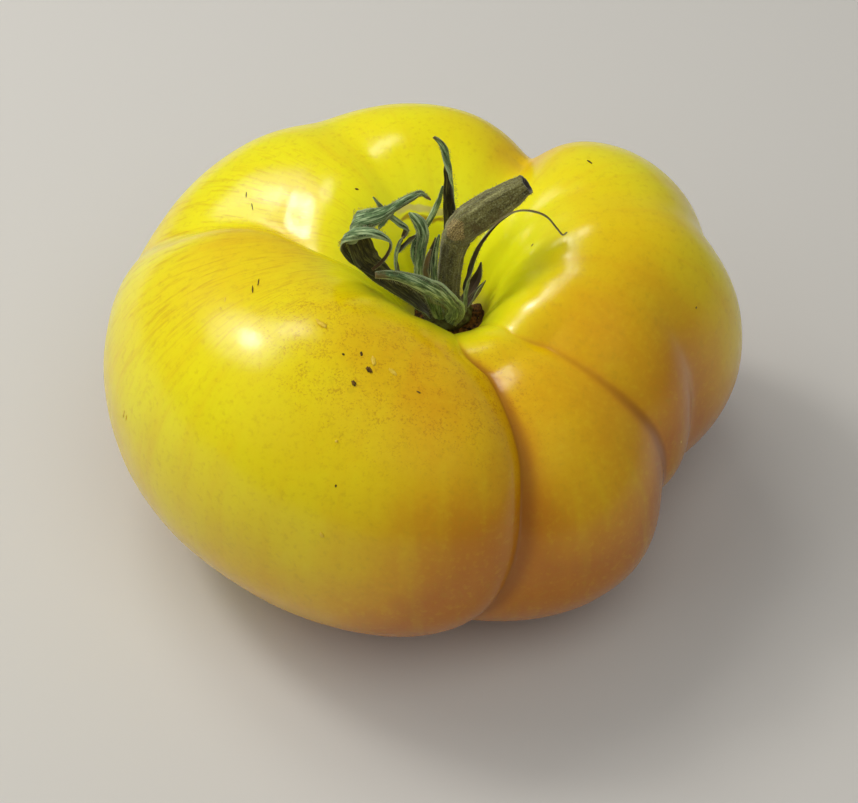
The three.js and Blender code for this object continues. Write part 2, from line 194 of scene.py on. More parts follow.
def skin_points(place, azimuth):
    """Points of the fruit's skin, and how much painted shade each one takes from lying deep in a sharp
    crease, as a share of the deepest.
    """
    place, azimuth = np.broadcast_arrays(np.asarray(place, float), np.asarray(azimuth, float))
    sizes = [lobe_size(column, azimuth) for column in (REACH, SHOULDER, CREST_RADIUS)]
    radius, height = meridian(place, *sizes)
    step = 1e-3
    before = meridian(np.maximum(place - step, 0), *sizes)
    after = meridian(np.minimum(place + step, MERIDIAN_END), *sizes)
    along_radius, along_height = after[0] - before[0], after[1] - before[1]
    length = np.hypot(along_radius, along_height) + 1e-12
    inward, sideways, line = 0, 0, 0
    for crease in CREASES:
        _, depths, widths, tip, leaning, _ = crease
        depth = eased_through([CREASES_FROM, CREST, BELLY, FOOT, FLAT_FROM], [0, *depths, 0], place)
        lean = leaning * eased_through([LEAN_FROM, LEAN_TO], [0, 1], place)
        turn = (azimuth - crease_azimuth(crease, place) + 540) % 360 - 180
        share = np.exp(tip - np.hypot(turn / np.where(turn < 0, *widths), tip))
        inward = inward + depth * share
        sideways = sideways + depth * share * lean
        # Painted shade along the bottoms of the sharp creases
        if tip < SHARP_TIP:
            line = np.maximum(line, share**LINE_SHARPNESS * depth / DEEPEST_CREASE)
    out = radius + inward * along_height / length
    cos, sin = np.cos(np.radians(azimuth)), np.sin(np.radians(azimuth))
    z = np.maximum(height - inward * along_radius / length, 0)
    return np.stack([out * cos - sideways * sin, out * sin + sideways * cos, z], -1), line


def column_azimuths(place):
    """Azimuths of the fruit's columns, which run along the creases."""
    found = []
    for i, crease in enumerate(CREASES):
        following = CREASES[(i + 1) % len(CREASES)]
        start = crease_azimuth(crease, place)
        end = crease_azimuth(following, place) + (360 if i + 1 == len(CREASES) else 0)
        *_, solid_columns = crease
        share = np.arange(0, 1, 1 / (solid_columns * COLUMNS_PER_SOLID_COLUMN))
        crowded = share - COLUMN_CROWDING * np.sin(2 * np.pi * share) / (2 * np.pi)
        found.append(start + (end - start) * crowded)
    return np.concatenate(found)


def noise_at(points, size, seed=0.0):
    """Smooth noise from -1 to 1 with features of about this size, at many points."""
    shift = Vector((seed * 17.3, seed * -9.1, seed * 5.7))
    flat = np.asarray(points, float).reshape(-1, 3) / size
    values = [noise.noise(Vector(p) + shift) for p in flat]
    return np.array(values).reshape(np.asarray(points).shape[:-1])


def grid_normals(points):
    """Normals of a grid of rings, pointing out of a body whose rings turn clockwise from the end."""
    down = np.gradient(points, axis=0)
    sideways = np.roll(points, -1, axis=1) - np.roll(points, 1, axis=1)
    normal = np.cross(down, sideways)
    return normal / (np.linalg.norm(normal, axis=-1, keepdims=True) + 1e-12)


# Meshes

def loft_faces(rings, sides):
    """Faces of a closed skin over rings, whose two ends close on the last two points."""
    i, j = np.meshgrid(np.arange(rings - 1), np.arange(sides), indexing="ij")
    k = (j + 1) % sides
    quads = np.stack([i * sides + j, (i + 1) * sides + j, (i + 1) * sides + k, i * sides + k], -1)
    first, last = rings * sides, rings * sides + 1
    turn = np.arange(sides)
    ahead = (turn + 1) % sides
    end = (rings - 1) * sides
    caps = [(first, a, b) for a, b in zip(turn.tolist(), ahead.tolist())]
    caps += [(last, end + b, end + a) for a, b in zip(turn.tolist(), ahead.tolist())]
    return quads.reshape(-1, 4).tolist(), caps


def make_piece(name, points, faces, material_slot, *materials, faces_of_second=None):
    """A smooth mesh from points in millimetres, which rides with the object."""
    mesh = bpy.data.meshes.new(name)
    mesh.from_pydata((np.asarray(points) * MM).tolist(), [], faces)
    for material in materials:
        mesh.materials.append(material)
    if faces_of_second is not None:
        mesh.polygons.foreach_set("material_index", np.asarray(faces_of_second, np.int32))
    mesh.polygons.foreach_set("use_smooth", np.ones(len(mesh.polygons), bool))
    mesh.update()
    piece = bpy.data.objects.new(name, mesh)
    bpy.context.scene.collection.objects.link(piece)
    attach(piece, "root")
    return piece


def store(piece, name, values):
    """A number at each point of a piece, which its material reads by name."""
    attribute = piece.data.attributes.new(name, "FLOAT", "POINT")
    attribute.data.foreach_set("value", np.asarray(values, np.float32).ravel())


class Bundle:
    """Several closed lofts that become one mesh, with numbers stored at their points."""

    def __init__(self):
        self.points, self.faces, self.second, self.values, self.count = [], [], [], {}, 0

    def add(self, rings, first, last, second=None, **values):
        """second says, for each side of the rings, whether its faces take the second material."""
        count, sides = rings.shape[:2]
        quads, caps = loft_faces(count, sides)
        faces = [[v + self.count for v in face] for face in quads + caps]
        self.faces += faces
        side = np.zeros(sides, int) if second is None else np.asarray(second, int)
        self.second += np.tile(side, count - 1).tolist() + [0] * len(caps)
        self.points.append(np.concatenate([rings.reshape(-1, 3), [first, last]]))
        self.count += len(self.points[-1])
        for name, grid in values.items():
            grid = np.broadcast_to(grid, (count, sides))
            ends = [grid[0].mean(), grid[-1].mean()]
            self.values.setdefault(name, []).append(np.concatenate([grid.ravel(), ends]))

    def piece(self, name, material_slot, *materials):
        made = make_piece(
            name, np.concatenate(self.points), self.faces, material_slot, *materials,
            faces_of_second=self.second if len(materials) > 1 else None,
        )
        for key, values in self.values.items():
            store(made, key, np.concatenate(values))
        return made


# Materials

class Nodes:
    """A material's node tree, with short ways to add to it."""

    def __init__(self, name):
        self.material = bpy.data.materials.new(name)
        self.material.use_nodes = True
        self.tree = self.material.node_tree
        self.shader = self.tree.nodes["Principled BSDF"]

    def add(self, kind, inputs=None, **settings):
        node = self.tree.nodes.new(kind)
        for key, value in settings.items():
            setattr(node, key, value)
        for key, value in (inputs or {}).items():
            self.put(node.inputs[key], value)
        return node

    def put(self, socket, value):
        if isinstance(value, bpy.types.NodeSocket):
            self.tree.links.new(value, socket)
        else:
            socket.default_value = value

    def set(self, **inputs):
        for key, value in inputs.items():
            self.put(self.shader.inputs[key.replace("_", " ")], value)

    def math(self, operation, *values, clamp=False):
        inputs = dict(enumerate(values))
        return self.add("ShaderNodeMath", inputs, operation=operation, use_clamp=clamp).outputs[0]

    def value(self, name):
        return self.add("ShaderNodeAttribute", attribute_name=name).outputs["Fac"]

    def place(self):
        return self.add("ShaderNodeTexCoord").outputs["Object"]

    def noise(self, vector, size, detail=2, roughness=0.5):
        """Noise from 0 to 1 with features of this size in millimetres."""
        inputs = {"Vector": vector, "Scale": 1 / (size * MM), "Detail": detail,
                  "Roughness": roughness}
        return self.add("ShaderNodeTexNoise", inputs).outputs["Fac"]

    def between(self, value, low, high, to_low=0.0, to_high=1.0):
        """Eases a value from low..high to to_low..to_high."""
        inputs = {"Value": value, "From Min": low, "From Max": high, "To Min": to_low,
                  "To Max": to_high}
        node = self.add("ShaderNodeMapRange", inputs, interpolation_type="SMOOTHSTEP")
        return node.outputs["Result"]

    def mix(self, share, low, high):
        """One colour at share 0 and the other at share 1. A mix node has its colours at 6 and 7."""
        return self.add("ShaderNodeMix", {0: share, 6: low, 7: high}, data_type="RGBA").outputs[2]

    def ramp(self, value, *stops):
        """A colour from a value, by stops of (place, colour)."""
        node = self.add("ShaderNodeValToRGB", {"Fac": value})
        node.color_ramp.interpolation = "B_SPLINE" if len(stops) > 3 else "EASE"
        elements = node.color_ramp.elements
        while len(elements) < len(stops):
            elements.new(0.5)
        for element, (at, color) in zip(elements, stops):
            element.position = at
            element.color = color
        return node.outputs["Color"]

    def bump(self, height, strength, distance, normal=None):
        inputs = {"Height": height, "Strength": strength, "Distance": distance * MM}
        if normal is not None:
            inputs["Normal"] = normal
        return self.add("ShaderNodeBump", inputs).outputs["Normal"]


def color(red, green, blue):
    """A colour for a shader from the 0 to 255 numbers of a screen."""
    def linear(c):
        c /= 255
        return c / 12.92 if c <= 0.04045 else ((c + 0.055) / 1.055) ** 2.4
    return linear(red), linear(green), linear(blue), 1


# The skin's colours, from least to most ripe. The deeper ones also serve as painted shade low down, in
# front and on the right
LEMON = color(240, 234, 2)
GOLD = color(236, 206, 0)
AMBER = color(218, 152, 0)
DEEPEST_AND_SHADED = color(184, 104, 0)

# A healed corky line on the far wall of the cavity: its place, its azimuths and how it ends
WALL_SCAR_PLACE = 0.48
WALL_SCAR_FROM, WALL_SCAR_TO = 92, 120
WALL_SCAR_END = 6
WALL_SCAR_TO_ITS_EDGE = 0.034


def skin_material():
    n = Nodes("tomato_skin")
    where = n.place()
    place, warm, line = n.value("place"), n.value("warm"), n.value("line")
    patch = n.noise(where, 26, 3)
    # Riper skin, plus painted shade low down, in front and on the right, moves the colour along the
    # ramp
    warmth = n.math("ADD", warm, n.between(patch, 0.3, 0.7, -0.10, 0.10), clamp=True)
    base = n.ramp(warmth, (0.0, LEMON), (0.4, GOLD), (0.75, AMBER), (1.0, DEEPEST_AND_SHADED))

    # Streaks along the meridians: soft and broad all over, fine and dark on the left shoulder
    part = n.add("ShaderNodeSeparateXYZ", {"Vector": where})
    x, y = part.outputs[0], part.outputs[1]
    radius = n.math("SQRT", n.math("ADD", n.math("MULTIPLY", x, x), n.math("MULTIPLY", y, y)))
    around = n.add("ShaderNodeCombineXYZ", {
        0: n.math("DIVIDE", x, radius), 1: n.math("DIVIDE", y, radius),
        2: n.math("MULTIPLY", place, 0.12),
    }).outputs[0]
    broad = n.noise(around, 90, 3)
    base = n.mix(n.between(broad, 0.50, 0.78, 0, 0.12), base, LEMON)
    base = n.mix(n.between(broad, 0.50, 0.24, 0, 0.22), base, AMBER)
    fine = n.noise(around, 16, 4, 0.6)
    folded = n.math("MULTIPLY", n.between(fine, 0.48, 0.70), n.value("streaky"))
    base = n.mix(n.math("MULTIPLY", folded, 0.45), base, color(196, 142, 2))

    # Fine mottling, and the stipple of orange-brown dots, thickest on the front shoulder
    mottle = n.noise(where, 1.3, 3, 0.65)
    base = n.mix(n.between(mottle, 0.5, 0.75, 0, 0.28), base, color(190, 150, 4))
    base = n.mix(n.between(mottle, 0.5, 0.28, 0, 0.12), base, color(244, 224, 40))
    stipple = n.value("stipple")
    clump = n.noise(where, 2.2, 2)
    dots = n.noise(where, 0.42, 3, 0.75)
    crowded = n.math("MULTIPLY", stipple, n.between(clump, 0.3, 0.7, 0.02, 0.16))
    least = n.math("SUBTRACT", 0.66, crowded)
    dots = n.between(n.math("SUBTRACT", dots, least), -0.03, 0.06)
    dots = n.math("MULTIPLY", dots, n.math("MULTIPLY", stipple, 0.42, clamp=True))
    base = n.mix(dots, base, color(172, 96, 4))

    # The stem cavity is paler and greener. Painted shade deepens the colour of the sharp creases, to a
    # brown line at their bottoms
    base = n.mix(n.between(place, 0.9, 0.35, 0, 0.85), base, color(248, 248, 30))
    base = n.mix(n.between(place, 0.27, 0.19, 0, 0.6), base, color(196, 176, 96))
    base = n.mix(n.between(line, 0.10, 0.50, 0, 0.45), base, color(204, 128, 0))
    base = n.mix(n.between(line, 0.26, 0.62, 0, 0.6), base, color(140, 76, 2))

    # The healed line is silvery, with a brown edge below it
    ragged = n.math("ADD", place, n.between(n.noise(where, 5, 2), 0.2, 0.8, -0.025, 0.025))
    off = n.math("ABSOLUTE", n.math("SUBTRACT", ragged, WALL_SCAR_PLACE))
    healed = n.math("MULTIPLY", n.between(off, 0.024, 0.008), n.value("healed"))
    base = n.mix(n.math("MULTIPLY", healed, 0.75), base, color(204, 192, 120))
    edge = n.math("SUBTRACT", ragged, WALL_SCAR_PLACE - WALL_SCAR_TO_ITS_EDGE)
    off = n.math("ABSOLUTE", edge)
    healed = n.math("MULTIPLY", n.between(off, 0.012, 0.003), n.value("healed"))
    base = n.mix(n.math("MULTIPLY", healed, 0.7), base, color(142, 88, 30))

    # The skin's fine grain, and its low peel
    grain = n.noise(where, 0.42, 2, 0.6)
    peel = n.noise(where, 1.9, 2, 0.5)
    normal = n.bump(grain, 0.16, 0.06)
    normal = n.bump(peel, 0.22, 0.10, normal)
    n.set(
        Base_Color=base,
        Roughness=n.between(mottle, 0.3, 0.7, 0.18, 0.26),
        Specular_IOR_Level=0.5,
        Subsurface_Weight=0.2,
        Subsurface_Radius=(1.0, 0.6, 0.03),
        Subsurface_Scale=3.0 * MM,
        Normal=normal,
    )
    return n.material


def leaf_material(name, light, mid, dark, tip):
    """Dry leaf. Its points store how far across and along the blade they are, and how dry."""
    n = Nodes(name)
    across, along, dry = n.value("across"), n.value("along"), n.value("dry")
    flat = n.add("ShaderNodeCombineXYZ", {
        0: n.math("MULTIPLY", across, MM), 1: n.math("MULTIPLY", along, 0.09 * MM),
        2: n.math("MULTIPLY", n.value("blade"), 0.05),
    }).outputs[0]
    veins = n.noise(flat, 0.34, 3, 0.6)
    tone = n.ramp(veins, (0.34, dark), (0.5, mid), (0.64, light))
    blotch = n.noise(n.place(), 2.6, 3, 0.6)
    tone = n.mix(n.between(blotch, 0.55, 0.8, 0, 0.6), tone, tip)
    speck = n.noise(n.place(), 0.35, 2, 0.6)
    tone = n.mix(n.between(speck, 0.58, 0.75, 0, 0.45), tone, light)
    drier = n.math("ADD", dry, n.between(blotch, 0.2, 0.8, -0.2, 0.2))
    tone = n.mix(n.between(drier, 0.5, 1.0), tone, tip)
    tone = n.mix(n.between(n.value("edge"), 0.72, 1.0, 0, 0.55), tone, light)
    normal = n.bump(veins, 0.5, 0.12)
    normal = n.bump(speck, 0.4, 0.06, normal)
    n.set(
        Base_Color=tone, Roughness=0.72, Specular_IOR_Level=0.3, Normal=normal,
        Sheen_Weight=0.25, Sheen_Roughness=0.5,
    )
    return n.material


def stem_material():
    n = Nodes("stem_bark")
    where = n.place()
    along = n.add("ShaderNodeCombineXYZ", {
        0: n.math("MULTIPLY", n.value("turned_x"), MM), 1: n.math("MULTIPLY", n.value("turned_y"), MM),
        2: n.math("MULTIPLY", n.value("along"), 0.12 * MM),
    }).outputs[0]
    fibre = n.noise(along, 0.55, 4, 0.6)
    dark, mid, light = color(66, 60, 26), color(110, 106, 54), color(158, 156, 98)
    tone = n.ramp(fibre, (0.28, dark), (0.5, mid), (0.72, light))
    speck = n.noise(where, 0.3, 2, 0.65)
    tone = n.mix(n.between(speck, 0.54, 0.68, 0, 0.65), tone, color(158, 162, 116))
    tone = n.mix(n.between(speck, 0.46, 0.33, 0, 0.7), tone, color(38, 34, 16))
    blotch = n.noise(where, 3.2, 3, 0.6)
    tone = n.mix(n.between(blotch, 0.52, 0.72, 0, 0.7), tone, color(78, 60, 30))

    # The scar on the knuckle: a tan patch with fine curved lines and a broken edge
    wavy = n.math("ADD", n.value("scar_line"), n.between(speck, 0.2, 0.8, -0.25, 0.25))
    ring = n.math("SINE", n.math("MULTIPLY", wavy, 15.0))
    pale = n.mix(n.between(ring, -0.8, 0.9), color(104, 84, 42), color(190, 170, 108))
    broken = n.math("ADD", n.value("scar"), n.between(blotch, 0.3, 0.7, -0.4, 0.4))
    tone = n.mix(n.between(broken, 0.4, 0.8, 0, 0.9), tone, pale)
    tone = n.mix(n.value("cut"), tone, color(44, 34, 18))
    normal = n.bump(fibre, 0.6, 0.16)
    normal = n.bump(speck, 0.6, 0.08, normal)
    n.set(
        Base_Color=tone, Roughness=0.8, Specular_IOR_Level=0.3, Normal=normal,
        Sheen_Weight=0.3, Sheen_Roughness=0.5,
    )
    return n.material


def plain_material(name, first, second, size, roughness, relief=0.1):
    """Two colours in patches of this size, with relief of the same size."""
    n = Nodes(name)
    patch = n.noise(n.place(), size, 4, 0.65)
    tone = n.mix(n.between(patch, 0.36, 0.64), first, second)
    n.set(
        Base_Color=tone, Roughness=roughness, Specular_IOR_Level=0.3,
        Normal=n.bump(patch, 0.7, relief),
    )
    return n.material


# The fruit
WARM_BLOBS = [  # azimuth, place, radius, strength: riper skin
    (254, 1.08, 20, 0.22), (282, 1.7, 22, 0.25), (176, 0.95, 12, 0.35), (190, 1.15, 14, 0.18),
    (325, 1.6, 20, 0.30), (78, 1.1, 12, 0.20), (350, 1.2, 16, 0.18), (60, 0.95, 9, 0.25),
]
STIPPLE_BLOBS = [  # the same, for brown dots
    (254, 1.02, 17, 1.0), (228, 1.03, 13, 0.75), (275, 1.03, 13, 0.8), (246, 1.4, 26, 0.3),
    (330, 1.0, 20, 0.3), (14, 0.9, 16, 0.3), (290, 1.4, 16, 0.35), (110, 0.9, 24, 0.2),
]
STREAK_BLOBS = [  # and for fine streaks
    (172, 1.02, 17, 1.0), (186, 1.35, 24, 0.8), (196, 1.0, 15, 0.8), (160, 1.5, 24, 0.5),
]
# How ripe the skin is on top, and how much deeper its colour is below, in front and on the right:
# partly riper skin, partly painted shade
WARM_ON_TOP = 0.06
RIPER_AND_SHADED_BELOW = 0.85
RIPER_AND_SHADED_TO_THE_FRONT = 0.32
RIPER_AND_SHADED_TO_THE_RIGHT = 0.14

CAVITY_FROM = 0.15  # where the first ring is: the skin inside it is flat and hidden
# Low relief: how high it is, and how wide its forms are or how many go round
WIDE_LUMPS, SMALL_LUMPS = (0.30, 24), (0.10, 8)
FLUTE_HEIGHT, FLUTES, FLUTES_WANDER = 0.09, 17, 2.5


def blobs_at(points, blobs):
    """The sum of soft round patches, each given by where it is, its radius and its strength."""
    total = np.zeros(points.shape[:-1])
    for azimuth, place, radius, strength in blobs:
        centre = skin_points(place, azimuth)[0]
        away = np.linalg.norm(points - centre, axis=-1)
        total += strength * np.exp(-((away / radius) ** 2))
    return total


def fruit_rings():
    """The places of the fruit's rings, from the cavity to the middle of the underside."""
    parts = [
        (CAVITY_FROM, CREST, RINGS["cavity"]), (CREST, BELLY, RINGS["shoulder"]),
        (BELLY, FOOT, RINGS["underside"]), (FOOT, MERIDIAN_END, RINGS["foot"]),
    ]
    return np.concatenate([np.linspace(a, b, n, endpoint=False) for a, b, n in parts])


def make_fruit():
    places = fruit_rings()
    azimuths = np.array([column_azimuths(place) for place in places])
    place = np.broadcast_to(places[:, None], azimuths.shape)
    points, line = skin_points(place, azimuths)
    outward = grid_normals(points)
    open_skin = between(0.16, 0.5, place) * between(3.2, 2.7, place)
    lumps = WIDE_LUMPS[0] * noise_at(points, WIDE_LUMPS[1], 1)
    lumps = lumps + SMALL_LUMPS[0] * noise_at(points, SMALL_LUMPS[1], 2)
    wander = FLUTES_WANDER * noise_at(points, 30, 3)
    flutes = np.cos(np.radians(azimuths) * FLUTES + wander)
    flutes = flutes * between(0.18, 0.4, place) * between(1.0, 0.55, place)
    points = points + outward * (lumps * open_skin + FLUTE_HEIGHT * flutes)[..., None]
    bundle = Bundle()
    x, y, height = points[..., 0], points[..., 1], points[..., 2]
    # Deeper colour near the table, most of all on the right, and in front and on the right: partly
    # riper skin, partly painted shade
    low = between(60, 6, height) * (0.55 + 0.45 * between(-55, 5, x))
    front = between(-42, 0, x) * between(0, -20, y)
    right = between(-5, 30, x) * between(-30, 0, y)
    warm = WARM_ON_TOP + RIPER_AND_SHADED_BELOW * low + RIPER_AND_SHADED_TO_THE_FRONT * front + RIPER_AND_SHADED_TO_THE_RIGHT * right
    bundle.add(
        points, (0, 0, CAVITY_FLOOR_HEIGHT), (0, 0, 0),
        place=place, line=line, warm=warm + blobs_at(points, WARM_BLOBS),
        stipple=np.minimum(blobs_at(points, STIPPLE_BLOBS), 1),
        streaky=np.minimum(blobs_at(points, STREAK_BLOBS), 1),
        healed=between(WALL_SCAR_FROM - WALL_SCAR_END, WALL_SCAR_FROM, azimuths)
        * between(WALL_SCAR_TO + WALL_SCAR_END, WALL_SCAR_TO, azimuths),
    )
    fruit = bundle.piece("fruit_skin", "skin", skin_material())
    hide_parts("fruit")


make_fruit()


# The calyx and stem follow curves through points

SAMPLES_PER_SPAN = 40


def curve_through(points):
    """The centripetal curve through the points, and the length along it at each sample."""
    p = np.array(points, float)
    p = np.vstack([2 * p[0] - p[1], p, 2 * p[-1] - p[-2]])
    found = []
    for a, b, c, d in zip(p, p[1:], p[2:], p[3:]):
        k0, k1, k2 = (np.linalg.norm(v) ** 0.5 for v in (b - a, c - b, d - c))
        start = ((b - a) / k0 - (c - a) / (k0 + k1) + (c - b) / k1) * k1
        end = ((c - b) / k1 - (d - b) / (k1 + k2) + (d - c) / k2) * k1
        u = np.linspace(0, 1, SAMPLES_PER_SPAN, endpoint=False)[:, None]
        found.append(
            (2 * u**3 - 3 * u**2 + 1) * b + (u**3 - 2 * u**2 + u) * start
            + (3 * u**2 - 2 * u**3) * c + (u**3 - u**2) * end
        )
    samples = np.vstack([*found, p[-2:-1]])
    length = np.concatenate([[0], np.cumsum(np.linalg.norm(np.diff(samples, axis=0), axis=1))])
    return samples, length


def evenly(points, steps):
    """Points and directions at equal distances along the curve, and each rib point's share."""
    samples, length = curve_through(points)
    share = np.linspace(0, 1, steps + 1)
    even = np.stack([np.interp(share * length[-1], length, samples[:, k]) for k in range(3)], -1)
    along = np.gradient(even, axis=0)
    along /= np.linalg.norm(along, axis=1, keepdims=True)
    knots = length[::SAMPLES_PER_SPAN] / length[-1]
    return even, along, share, knots, length[-1]


def sides_along(along, side):
    """A direction across the curve, carried along it without turning about it."""
    found = []
    side = np.array(side, float)
    for direction in along:
        side = side - direction * np.dot(side, direction)
        side /= np.linalg.norm(side)
        found.append(side)
    return np.array(found)


